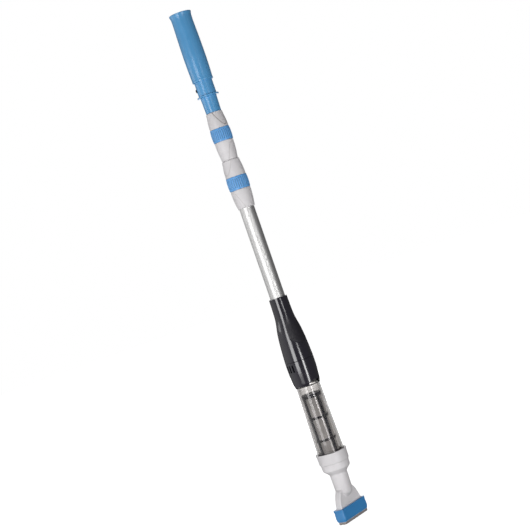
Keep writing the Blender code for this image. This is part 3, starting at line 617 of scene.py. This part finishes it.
def nozzle_plastic(name, colour, lip_colour, lip_top):
    """The pale plastic, with painted shade on the lip that meets the pool floor: darker and browner there.
    """
    material = plastic(name, colour, 0.42)
    tree = material.node_tree
    shader = tree.nodes["Principled BSDF"]
    plain_colour = shader.inputs["Base Color"].links[0].from_socket
    # Painted shade: the lip below the bumper turns darker and browner, with a ragged top.
    height = add_node(tree, "ShaderNodeSeparateXYZ", {0: place_in(tree)}).outputs["Z"]
    ragged = calc(tree, "MULTIPLY", calc(tree, "SUBTRACT", noise(tree, 300.0, 3.0), 0.5), 1.6 * MM)
    masked_amount = remap(tree, calc(tree, "ADD", height, ragged), lip_top * MM, (lip_top + 0.6) * MM, 1.0, 0.0)
    put(tree, shader.inputs["Base Color"], blend(tree, masked_amount, plain_colour, (*lip_colour, 1.0)))
    return material


def aluminium(name, colour, roughness):
    """Drawn and anodised tube: fine lines along its length and slow patches of sheen."""
    material, tree, shader = start_material(name)
    lines = noise(tree, 2600.0, 2.0, (1.0, 1.0, 0.006))
    slow = noise(tree, 14.0, 2.0)
    shade = blend(tree, remap(tree, lines, 0.35, 0.65, 0.0, 1.0), tint(colour, 0.95), tint(colour, 1.03))
    put(tree, shader.inputs["Base Color"], shade)
    shader.inputs["Metallic"].default_value = 1.0
    shader.inputs["Anisotropic"].default_value = 0.2
    round_z = add_node(tree, "ShaderNodeTangent", direction_type="RADIAL", axis="Z")
    put(tree, shader.inputs["Tangent"], round_z.outputs["Tangent"])
    line_sheen = remap(tree, lines, 0.3, 0.7, -0.04, 0.05)
    rough = calc(tree, "ADD", line_sheen, remap(tree, slow, 0.3, 0.7, -0.02, 0.03))
    put(tree, shader.inputs["Roughness"], calc(tree, "ADD", rough, roughness))
    bump(tree, shader, lines, 0.25, 0.006)
    return material


def rubber(name, colour):
    material, tree, shader = start_material(name)
    bloom = remap(tree, noise(tree, 160.0, 4.0), 0.45, 0.75, 0.0, 0.6)
    put(tree, shader.inputs["Base Color"], blend(tree, bloom, (*colour, 1.0), tint(colour, 2.4)))
    put(tree, shader.inputs["Roughness"], remap(tree, noise(tree, 700.0, 2.0), 0.3, 0.7, 0.5, 0.72))
    bump(tree, shader, noise(tree, 2200.0, 3.0), 0.5, 0.03)
    return material


def clear_plastic(name, colour):
    """Clear moulded wall, darker where it is seen edge-on and more of it lies behind.

    Shadow rays pass through it, so what is inside stays lit.
    """
    material, tree, shader = start_material(name)
    haze = noise(tree, 40.0, 3.0)
    shade = blend(tree, remap(tree, haze, 0.35, 0.65, 0.0, 1.0), tint(colour, 0.985), tint(colour, 1.0))
    facing = add_node(tree, "ShaderNodeLayerWeight", {"Blend": 0.5}).outputs["Facing"]
    thick = remap(tree, facing, 0.1, 0.5, 0.0, 1.0)
    put(tree, shader.inputs["Base Color"], blend(tree, thick, shade, tint(colour, 0.55)))
    scratch = remap(tree, noise(tree, 1100.0, 2.0, (1.0, 1.0, 0.04)), 0.64, 0.74, 0.0, 0.1)
    put(tree, shader.inputs["Roughness"], calc(tree, "ADD", scratch, 0.025))
    shader.inputs["Transmission Weight"].default_value = 1.0
    shader.inputs["IOR"].default_value = 1.49
    shader.inputs["Specular IOR Level"].default_value = 1.0
    open_way = add_node(tree, "ShaderNodeBsdfTransparent", {"Color": tint(colour, 0.97)})
    is_shadow = add_node(tree, "ShaderNodeLightPath").outputs["Is Shadow Ray"]
    ways = {0: is_shadow, 1: shader.outputs[0], 2: open_way.outputs[0]}
    mixed = add_node(tree, "ShaderNodeMixShader", ways)
    put(tree, tree.nodes["Material Output"].inputs["Surface"], mixed.outputs[0])
    return material


def woven_mesh(name, colour, radius, pitch=0.7):
    """Fine filter cloth round a cylinder: two sets of threads, with holes that pass a little light."""
    material, tree, shader = start_material(name)
    parts = add_node(tree, "ShaderNodeSeparateXYZ", {0: place_in(tree)})
    around = calc(tree, "ARCTAN2", parts.outputs["Y"], parts.outputs["X"])
    turns = 2 * math.pi / pitch
    across = calc(tree, "SINE", calc(tree, "MULTIPLY", around, round(radius * turns)))
    up = calc(tree, "SINE", calc(tree, "MULTIPLY", parts.outputs["Z"], turns / MM))
    thread_a = calc(tree, "ABSOLUTE", across)
    thread_b = calc(tree, "ABSOLUTE", up)
    weave = calc(tree, "MAXIMUM", thread_a, thread_b)
    slow = noise(tree, 30.0, 3.0)
    shade = blend(tree, remap(tree, slow, 0.35, 0.65, 0.0, 1.0), tint(colour, 0.85), tint(colour, 1.1))
    put(tree, shader.inputs["Base Color"], shade)
    shader.inputs["Roughness"].default_value = 0.55
    put(tree, shader.inputs["Alpha"], remap(tree, weave, 0.55, 0.7, 0.72, 1.0))
    bump(tree, shader, weave, 0.6, 0.08)
    return material


# Colours are linear red, green and blue.
GREY = (0.70, 0.68, 0.695)
# Painted shade on the lip under the bumper: darker and browner than the grey.
LIP_BROWN = (0.25, 0.23, 0.225)
SKY_BLUE = (0.096, 0.338, 0.64)
LOCK_BLUE = (0.130, 0.385, 0.78)
BUMPER_BLUE = (0.038, 0.23, 0.53)
GLOSS_BLACK = (0.0140, 0.0125, 0.0200)
CAGE_BLACK = (0.008, 0.008, 0.018)
RUBBER_BLACK = (0.015, 0.015, 0.016)
CLOTH_GREY = (0.42, 0.405, 0.405)
NATURAL = (0.74, 0.73, 0.69)
SILVER = (0.86, 0.855, 0.85)
STEEL = (0.56, 0.56, 0.57)
CLEAR = (0.645, 0.63, 0.62)

# Each mark's first value paints shade into the seams, rib grooves and scoops of its material.
pale_grey = plastic("pale_grey_plastic", GREY, 0.40, mark=(0.55, 0.1))
grip_blue = plastic("grip_blue_plastic", SKY_BLUE, 0.24, grain=0.003, coat=0.25, drift=0.05)
ring_blue = plastic("ring_blue_plastic", LOCK_BLUE, 0.26, grain=0.004, mark=(0.68, 0.1))
bumper_blue = plastic("bumper_blue_plastic", BUMPER_BLUE, 0.32, grain=0.008, shine=0.8)
gloss_black = plastic(
    "gloss_black_plastic", GLOSS_BLACK, 0.13, grain=0.001, ior=1.55, shine=1.0, mark=(0.8, 0.42)
)
dark_plastic = plastic("dark_plastic", CAGE_BLACK, 0.40, shine=0.3)
natural_plastic = plastic("natural_plastic", NATURAL, 0.45)
tube_metal = aluminium("drawn_aluminium", SILVER, 0.45)
spring_metal = aluminium("spring_steel", STEEL, 0.25)
black_rubber = rubber("black_rubber", RUBBER_BLACK)
clear_wall = clear_plastic("clear_plastic", CLEAR)
filter_cloth = woven_mesh("filter_cloth", CLOTH_GREY, span("cage_mesh")[2])
nozzle_grey = nozzle_plastic("nozzle_plastic", GREY, LIP_BROWN, LIP_SHADE_TOP)


# ---------------------------------------------------------------- nozzle, bumper and collar


def slot_loft(name, levels, steps=10):
    """A closed solid through levels of (half width, half depth, corner, height), the lowest first."""
    mesh = bpy.data.meshes.new(name)
    shape = bmesh.new()
    loops = []
    for half_width, half_depth, corner, height in levels:
        ring, _ = slot_ring(half_width, half_depth, corner, steps)
        x, y = ring(0.0)
        loops.append([shape.verts.new((px * MM, py * MM, height * MM)) for px, py in zip(x, y)])
    count = len(loops[0])
    for lower, upper in zip(loops, loops[1:]):
        for i in range(count):
            after = (i + 1) % count
            shape.faces.new((lower[i], lower[after], upper[after], upper[i]))
    shape.faces.new(list(reversed(loops[0])))
    shape.faces.new(loops[-1])
    shape.to_mesh(mesh)
    shape.free()
    return mesh


def shoulder_half_width(height):
    heights, widths = zip(*SHOULDERS)
    return float(np.interp(height, heights, widths))


def wedge_levels(inset, heights):
    """Levels of the mouth's flat wedge, drawn in all round by the inset."""
    depth = MOUTH_HALF_DEPTH - inset
    corner = MOUTH_CORNER - INSET_CORNER_SHARE * inset
    return [(shoulder_half_width(height) - inset, depth, corner, height) for height in heights]


def nozzle():
    """Flat mouth that turns into a round neck, with a lip, recessed broad faces and a rounded tongue.

    The remesh and the smoothing blend the joins and round the edges, as in one moulding.
    """
    heights = np.linspace(LIP_TOP, SHOULDERS[-1][0], 40)
    wedge = slot_loft("wedge", wedge_levels(0.0, heights))
    lip = slot_loft("lip", [(*LIP_HALF, MOUTH_CORNER, 0.0), (*LIP_HALF, MOUTH_CORNER, LIP_TOP)])
    neck = turned_mesh("neck", NECK_OUTLINE, edge=1.2)
    flat_bore = slot_loft("flat_bore", wedge_levels(MOUTH_WALL, [-3.0, *heights[:-2]]))
    round_bore = turned_mesh("round_bore", BORE_OUTLINE, edge=0.8)
    panels = [panel_cutter(side) for side in (-1, 1)]
    notches = [rounded_box(NOTCH_SIZE, (side * LIP_HALF[0], 0.0, 0.0), 0.5) for side in (-1, 1)]
    mesh = combined(wedge, panels)
    mesh = combined(mesh, [neck, lip], "UNION")
    mesh = combined(mesh, [flat_bore, round_bore, *notches])
    mesh = baked(
        mesh,
        [
            ("REMESH", {"mode": "VOXEL", "voxel_size": NOZZLE_VOXEL * MM, "use_smooth_shade": True}),
            ("SMOOTH", {"factor": 0.5, "iterations": 5}),
        ],
    )
    mesh.shade_smooth()
    add_piece("nozzle_body_fine", mesh, "nozzle", nozzle_grey, "pale_grey_abs", "nozzle_body")


def panel_cutter(side):
    """Slab that sinks a broad face of the mouth between its edges."""
    heights = np.linspace(*PANEL_HEIGHTS, 24)
    mesh = bpy.data.meshes.new("panel")
    shape = bmesh.new()
    loops = []
    for depth in (MOUTH_HALF_DEPTH - PANEL_DEPTH, MOUTH_HALF_DEPTH + 3.0):
        right = [(shoulder_half_width(height) - PANEL_MARGIN, height) for height in heights]
        points = right + [(-x, z) for x, z in reversed(right)]
        loops.append([shape.verts.new((x * MM, side * depth * MM, z * MM)) for x, z in points])
    count = len(loops[0])
    for i in range(count):
        after = (i + 1) % count
        shape.faces.new((loops[0][i], loops[0][after], loops[1][after], loops[1][i]))
    shape.faces.new(loops[0])
    shape.faces.new(loops[1])
    bmesh.ops.recalc_face_normals(shape, faces=shape.faces)
    shape.to_mesh(mesh)
    shape.free()
    return mesh


def bumper():
    """Slip-on band with bulged sides, a flared rim on top and a chamfer below."""
    bottom, top, half_width = span("bumper_frame")
    half_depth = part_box("bumper_frame")[1].y / MM
    wall = half_width - MOUTH_HALF_WIDTH - BUMPER_GAP
    outside = [(grow, bottom + share * (top - bottom)) for share, grow in reversed(BUMPER_BULGE)]
    outline = outside + [(-wall, bottom), (-wall, top)]
    wall_depth = half_depth - MOUTH_HALF_DEPTH - BUMPER_GAP
    growth = (1.0, wall_depth / wall, (BUMPER_CORNER - MOUTH_CORNER) / wall)
    path = slot_ring(half_width, half_depth, BUMPER_CORNER, 16, growth)
    mesh = sweep_mesh("bumper_frame", soften(outline, True, 0.5), True, path)
    add_piece("bumper_frame_fine", mesh, "nozzle", bumper_blue, "bumper_blue", "bumper_frame")


def cage():
    """Base ring, centring flange and hoops from the CAD, joined by rounded ribs."""
    rib_step = 360.0 / CAGE_RIBS
    loops = outlines_of("cage_frame", CAGE_TURN + rib_step / 2)
    path = circle_ring(SEGMENTS)
    rings = [sweep_mesh("cage", soften(points, True, 0.4), True, path) for points, _ in loops]
    bottom, top, _ = span("cage_frame")
    centre = (CAGE_RIB_CENTRE_R, 0.0, (bottom + top) / 2)
    size = (CAGE_RIB_DEPTH, CAGE_RIB_WIDTH, top - bottom - 2 * CAGE_RIB_SETBACK)
    ribs = [rounded_box(size, centre, 0.4, CAGE_TURN + index * rib_step) for index in range(CAGE_RIBS)]
    mesh = smooth_by_angle(combined(rings[0], rings[1:] + ribs, "UNION"))
    add_piece("cage_frame_fine", mesh, "nozzle", dark_plastic, "dark_plastic", "cage_frame")


def button_height():
    """Height of the button's axis, in metres."""
    low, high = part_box("snap_button")
    return (low.z + high.z) / 2


def button():
    """Domed snap button that points out of the neck."""
    mesh = turned_mesh("snap_button", BUTTON_OUTLINE, 64, 0.5)
    mesh.transform(Matrix.Rotation(math.pi / 2, 4, "Y"))
    mesh.transform(Matrix.Rotation(math.radians(BUTTON_DEG), 4, "Z"))
    mesh.transform(Matrix.Translation((0.0, 0.0, button_height())))
    add_piece("snap_button_fine", mesh, "button", dark_plastic, "gloss_black", "snap_button")


def spring():
    """Coil spring behind the button, fixed to the far wall."""
    steps = SPRING_TURNS * SPRING_STEPS_PER_TURN
    start, end = SPRING_ENDS
    angles = np.arange(steps + 1) * 2 * math.pi * SPRING_TURNS / steps
    sides = np.arange(SPRING_SIDES) * 2 * math.pi / SPRING_SIDES
    radii = SPRING_R + SPRING_WIRE_R * np.cos(sides)[None, :]
    centres = start + (end - start) * (angles / angles[-1])[:, None]
    along = centres + SPRING_WIRE_R * np.sin(sides)[None, :]
    across = radii * np.cos(angles)[:, None]
    up = radii * np.sin(angles)[:, None]
    vertices = (np.stack([along, across, up], axis=-1) * MM).reshape(-1, 3).tolist()

    def point(step, side):
        return step * SPRING_SIDES + side % SPRING_SIDES

    faces = [
        (point(step, side), point(step, side + 1), point(step + 1, side + 1), point(step + 1, side))
        for step in range(steps)
        for side in range(SPRING_SIDES)
    ]
    faces.append(tuple(reversed(range(SPRING_SIDES))))
    faces.append(tuple(steps * SPRING_SIDES + side for side in range(SPRING_SIDES)))
    mesh = bpy.data.meshes.new("button_spring")
    mesh.from_pydata(vertices, [], faces)
    mesh.transform(Matrix.Rotation(math.radians(BUTTON_DEG), 4, "Z"))
    mesh.transform(Matrix.Translation((0.0, 0.0, button_height())))
    smooth_by_angle(mesh, 60.0)
    piece = add_piece("button_spring_fine", mesh, "handle", spring_metal, "spring_steel", "button_spring")
    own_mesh(piece)


def petals(*shape):
    return {"relief": petal_relief(*shape), "row": 0.6, "segments": FINE_SEGMENTS}


def ribs_on(node):
    return {"relief": rib_relief(node), "row": 0.9, "segments": RING_SEGMENTS}


def place_turned():
    """Every turned node, spun again finely. Each row: node, body, material, slot, how."""
    scoops = {"relief": scoop_relief, "row": 0.5, "segments": BARREL_SEGMENTS, "edge": HOUSING_EDGE}
    lower_body = petals("lower", 632.0, 2.6, False, 0.4)
    lower_cap = petals("lower", 666.0, 3.3, True, 0.5)
    upper_body = petals("upper", 724.0, 2.55, False, 0.4)
    upper_cap = petals("upper", 757.0, 3.45, True, 0.6, 1.0)
    rows = [
        ("collar_ring", "nozzle", pale_grey, "pale_grey_abs", {"edge": 0.5}),
        ("chamber_seal", "nozzle", black_rubber, "black_rubber", {}),
        ("cage_mesh", "nozzle", filter_cloth, "filter_mesh", {}),
        ("cage_lid", "nozzle", dark_plastic, "dark_plastic", {}),
        ("debris_chamber", "chamber", clear_wall, "clear_plastic", {"edge": 0.6}),
        ("chamber_gasket", "chamber", black_rubber, "black_rubber", {"edge": 0.5}),
        ("pump_body", "housing", gloss_black, "gloss_black", scoops),
        ("suction_duct", "housing", dark_plastic, "dark_plastic", {}),
        ("outlet_valve", "housing", black_rubber, "black_rubber", {}),
        ("pump_cylinder", "housing", tube_metal, "anodised_aluminium", {"at_deg": 45.0}),
        ("rod_guide", "housing", black_rubber, "black_rubber", {}),
        ("intake_valve", "valve", black_rubber, "black_rubber", {}),
        ("outer_tube", "pump_rod", tube_metal, "anodised_aluminium", {}),
        ("piston", "pump_rod", dark_plastic, "dark_plastic", {}),
        ("piston_ring", "pump_rod", black_rubber, "black_rubber", {}),
        ("lower_lock_body", "pump_rod", pale_grey, "pale_grey_abs", lower_body),
        ("lower_lock_cap", "pump_rod", pale_grey, "pale_grey_abs", lower_cap),
        ("lower_lock_ring", "lower_ring", ring_blue, "ring_blue", ribs_on("lower_lock_ring")),
        ("middle_tube", "middle_pole", tube_metal, "anodised_aluminium", {}),
        ("middle_tube_plug", "middle_pole", dark_plastic, "dark_plastic", {}),
        ("upper_lock_body", "middle_pole", pale_grey, "pale_grey_abs", upper_body),
        ("upper_lock_cap", "middle_pole", pale_grey, "pale_grey_abs", upper_cap),
        ("upper_lock_ring", "upper_ring", ring_blue, "ring_blue", ribs_on("upper_lock_ring")),
        ("inner_tube", "handle", tube_metal, "anodised_aluminium", {}),
        ("inner_tube_plug", "handle", dark_plastic, "dark_plastic", {}),
        ("handle_core", "handle", grip_blue, "grip_blue", {}),
        ("pole_connector", "handle", grip_blue, "grip_blue", {"edge": 0.5}),
        ("handle_grip", "handle", grip_blue, "grip_blue", {"edge": 0.7}),
        ("grip_cap", "handle", grip_blue, "grip_blue", {}),
    ]
    for node, body, material, slot, how in rows:
        add_piece(f"{node}_fine", respun(node, **how), body, material, slot, node)


def vent_skirt():
    """Lower shell of the housing with its vents and arches cut through."""
    mesh = respun("vent_skirt", at_deg=30.0, edge=HOUSING_EDGE, segments=FINE_SEGMENTS, row=3.0)
    cutters = []
    for side in (0.0, 180.0):
        for step in (-1, 0, 1):
            turn = side + VENT_TURN + step * VENT_STEP
            cutters.append(rounded_box(VENT_SIZE, VENT_CENTRE, VENT_CORNER, turn))
    arch = bpy.data.meshes.new("arch")
    shape = bmesh.new()
    length = ARCH_LENGTH * MM
    bmesh.ops.create_cone(shape, cap_ends=True, segments=96, radius1=1.0, radius2=1.0, depth=length)
    lying = Matrix.Rotation(math.pi / 2, 3, "X")
    bmesh.ops.rotate(shape, cent=(0.0, 0.0, 0.0), matrix=lying, verts=shape.verts)
    bmesh.ops.scale(shape, vec=(ARCH_HALF_WIDTH * MM, 1.0, ARCH_RISE * MM), verts=shape.verts)
    bmesh.ops.translate(shape, vec=(0.0, 0.0, span("vent_skirt")[0] * MM), verts=shape.verts)
    shape.to_mesh(arch)
    shape.free()
    arch.transform(Matrix.Rotation(math.radians(HOUSING_TURN), 4, "Z"))
    mesh = smooth_by_angle(combined(mesh, cutters + [arch]))
    add_piece("vent_skirt_fine", mesh, "housing", gloss_black, "gloss_black", "vent_skirt")


CARRIED = {
    "inlet_seat": natural_plastic,
    "inlet_flap": black_rubber,
    "flap_pin": spring_metal,
    "valve_plate": natural_plastic,
    "lower_collet": natural_plastic,
    "upper_collet": natural_plastic,
}


def carry_over():
    """CAD nodes whose shape is right keep it, and get a finished material."""
    for node, material in CARRIED.items():
        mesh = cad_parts[node].data
        mesh.materials.clear()
        mesh.materials.append(material)


# ---------------------------------------------------------------- stage, light and camera


def polar(angle_deg, distance, height):
    """A point in metres, from a direction round the pole, a distance and a height."""
    angle = math.radians(angle_deg)
    return Vector((distance * math.cos(angle), distance * math.sin(angle), height)) * MM


def floor():
    """Pale floor. It is seen and takes soft shadows, but the object doesn't mirror it."""
    mesh = bpy.data.meshes.new("floor")
    shape = bmesh.new()
    bmesh.ops.create_circle(shape, cap_ends=True, segments=96, radius=FLOOR_RADIUS_M)
    shape.to_mesh(mesh)
    shape.free()
    material, tree, shader = start_material("pale_floor")
    shade = remap(tree, noise(tree, 3.0, 3.0), 0.3, 0.7, 0.79, 0.81)
    grey = add_node(tree, "ShaderNodeCombineColor", {0: shade, 1: shade, 2: shade})
    put(tree, shader.inputs["Base Color"], grey.outputs[0])
    shader.inputs["Roughness"].default_value = 0.9
    shader.inputs["Specular IOR Level"].default_value = 0.0
    put(tree, shader.inputs["Emission Color"], (1.0, 1.0, 1.0, 1.0))
    put(tree, shader.inputs["Emission Strength"], FLOOR_GLOW)
    below = add_node(tree, "ShaderNodeNewGeometry").outputs["Backfacing"]
    gone = add_node(tree, "ShaderNodeBsdfTransparent")
    mixed = add_node(tree, "ShaderNodeMixShader", {0: below, 1: shader.outputs[0], 2: gone.outputs[0]})
    put(tree, tree.nodes["Material Output"].inputs["Surface"], mixed.outputs[0])
    mesh.materials.append(material)
    ground = bpy.data.objects.new("floor", mesh)
    bpy.context.scene.collection.objects.link(ground)
    ground.location.z = -FLOOR_DROP * MM
    ground.visible_glossy = False
    ground.visible_diffuse = False
    ground.visible_shadow = False


def surroundings():
    """White beyond the floor, and round the object a pale wall on one side and a dim one on the other."""
    world = bpy.data.worlds.new("studio")
    bpy.context.scene.world = world
    world.use_nodes = True
    tree = world.node_tree
    tree.nodes.clear()
    direction = add_node(tree, "ShaderNodeTexCoord").outputs["Generated"]
    toward = polar(FILL_POLAR, 1.0 / MM, 0.0)
    side = add_node(tree, "ShaderNodeVectorMath", {0: direction, 1: tuple(toward)}, operation="DOT_PRODUCT")
    level = remap(tree, side.outputs["Value"], 0.5, 0.97, RIGHT_FILL, LEFT_FILL)
    path = add_node(tree, "ShaderNodeLightPath")
    seen = calc(tree, "MAXIMUM", path.outputs["Is Camera Ray"], path.outputs["Is Transmission Ray"])
    strength = add_node(tree, "ShaderNodeMix", data_type="FLOAT")
    put(tree, strength.inputs[0], seen)
    put(tree, strength.inputs[2], level)
    put(tree, strength.inputs[3], BACKGROUND)
    white = (1.0, 1.0, 1.0, 1.0)
    glow = add_node(tree, "ShaderNodeBackground", {"Color": white, "Strength": strength.outputs[0]})
    add_node(tree, "ShaderNodeOutputWorld", {"Surface": glow.outputs[0]})


def softbox(name, polar_deg, distance, bottom, top, width, radiance):
    """An upright area light that faces the pole. Its radiance sets how bright its reflection is."""
    lamp = bpy.data.lights.new(name, "AREA")
    lamp.shape = "RECTANGLE"
    lamp.size = width * MM
    lamp.size_y = (top - bottom) * MM
    lamp.energy = radiance * math.pi * lamp.size * lamp.size_y
    light = bpy.data.objects.new(name, lamp)
    bpy.context.scene.collection.objects.link(light)
    light.location = polar(polar_deg, distance, (top + bottom) / 2)
    facing = polar(polar_deg, 1.0, 0.0)
    light.rotation_mode = "QUATERNION"
    light.rotation_quaternion = facing.to_track_quat("Z", "Y")
    light.visible_camera = False
    return light


def lights():
    """Softboxes, which also make the streaks on the gloss, and fills, which only brighten matt surfaces."""
    for name, turn, *shape in SOFTBOXES:
        softbox(name, CAMERA_POLAR + turn, *shape)
    for name, turn, radiance in FILLS:
        fill = softbox(name, CAMERA_POLAR + turn, *FILL_SHAPE, radiance)
        fill.visible_glossy = False
        fill.visible_transmission = False


def camera():
    """Level with the middle of the pole, far off, and rolled so that the pole leans."""
    data = bpy.data.cameras.new("camera")
    data.sensor_width = 36.0
    data.lens = data.sensor_width * CAMERA_DISTANCE / VIEW_WIDTH
    data.clip_start = 0.05
    data.clip_end = 60.0
    eye = bpy.data.objects.new("camera", data)
    bpy.context.scene.collection.objects.link(eye)
    place = polar(CAMERA_POLAR, CAMERA_DISTANCE, CAMERA_HEIGHT)
    forward = (Vector((0.0, 0.0, AIM_HEIGHT * MM)) - place).normalized()
    level_right = forward.cross(Vector((0.0, 0.0, 1.0))).normalized()
    forward = (Vector((0.0, 0.0, AIM_HEIGHT * MM)) - level_right * AIM_LEFT * MM - place).normalized()
    level_right = forward.cross(Vector((0.0, 0.0, 1.0))).normalized()
    level_up = level_right.cross(forward)
    lean = math.radians(CAMERA_LEAN)
    right = level_right * math.cos(lean) - level_up * math.sin(lean)
    up = level_right * math.sin(lean) + level_up * math.cos(lean)
    turn = Matrix((right, up, -forward)).transposed().to_4x4()
    eye.matrix_world = Matrix.Translation(place) @ turn
    bpy.context.scene.camera = eye


bpy.context.scene.view_settings.view_transform = "Standard"
camera()
place_turned()
nozzle()
bumper()
cage()
vent_skirt()
button()
spring()
carry_over()
floor()
surroundings()
lights()
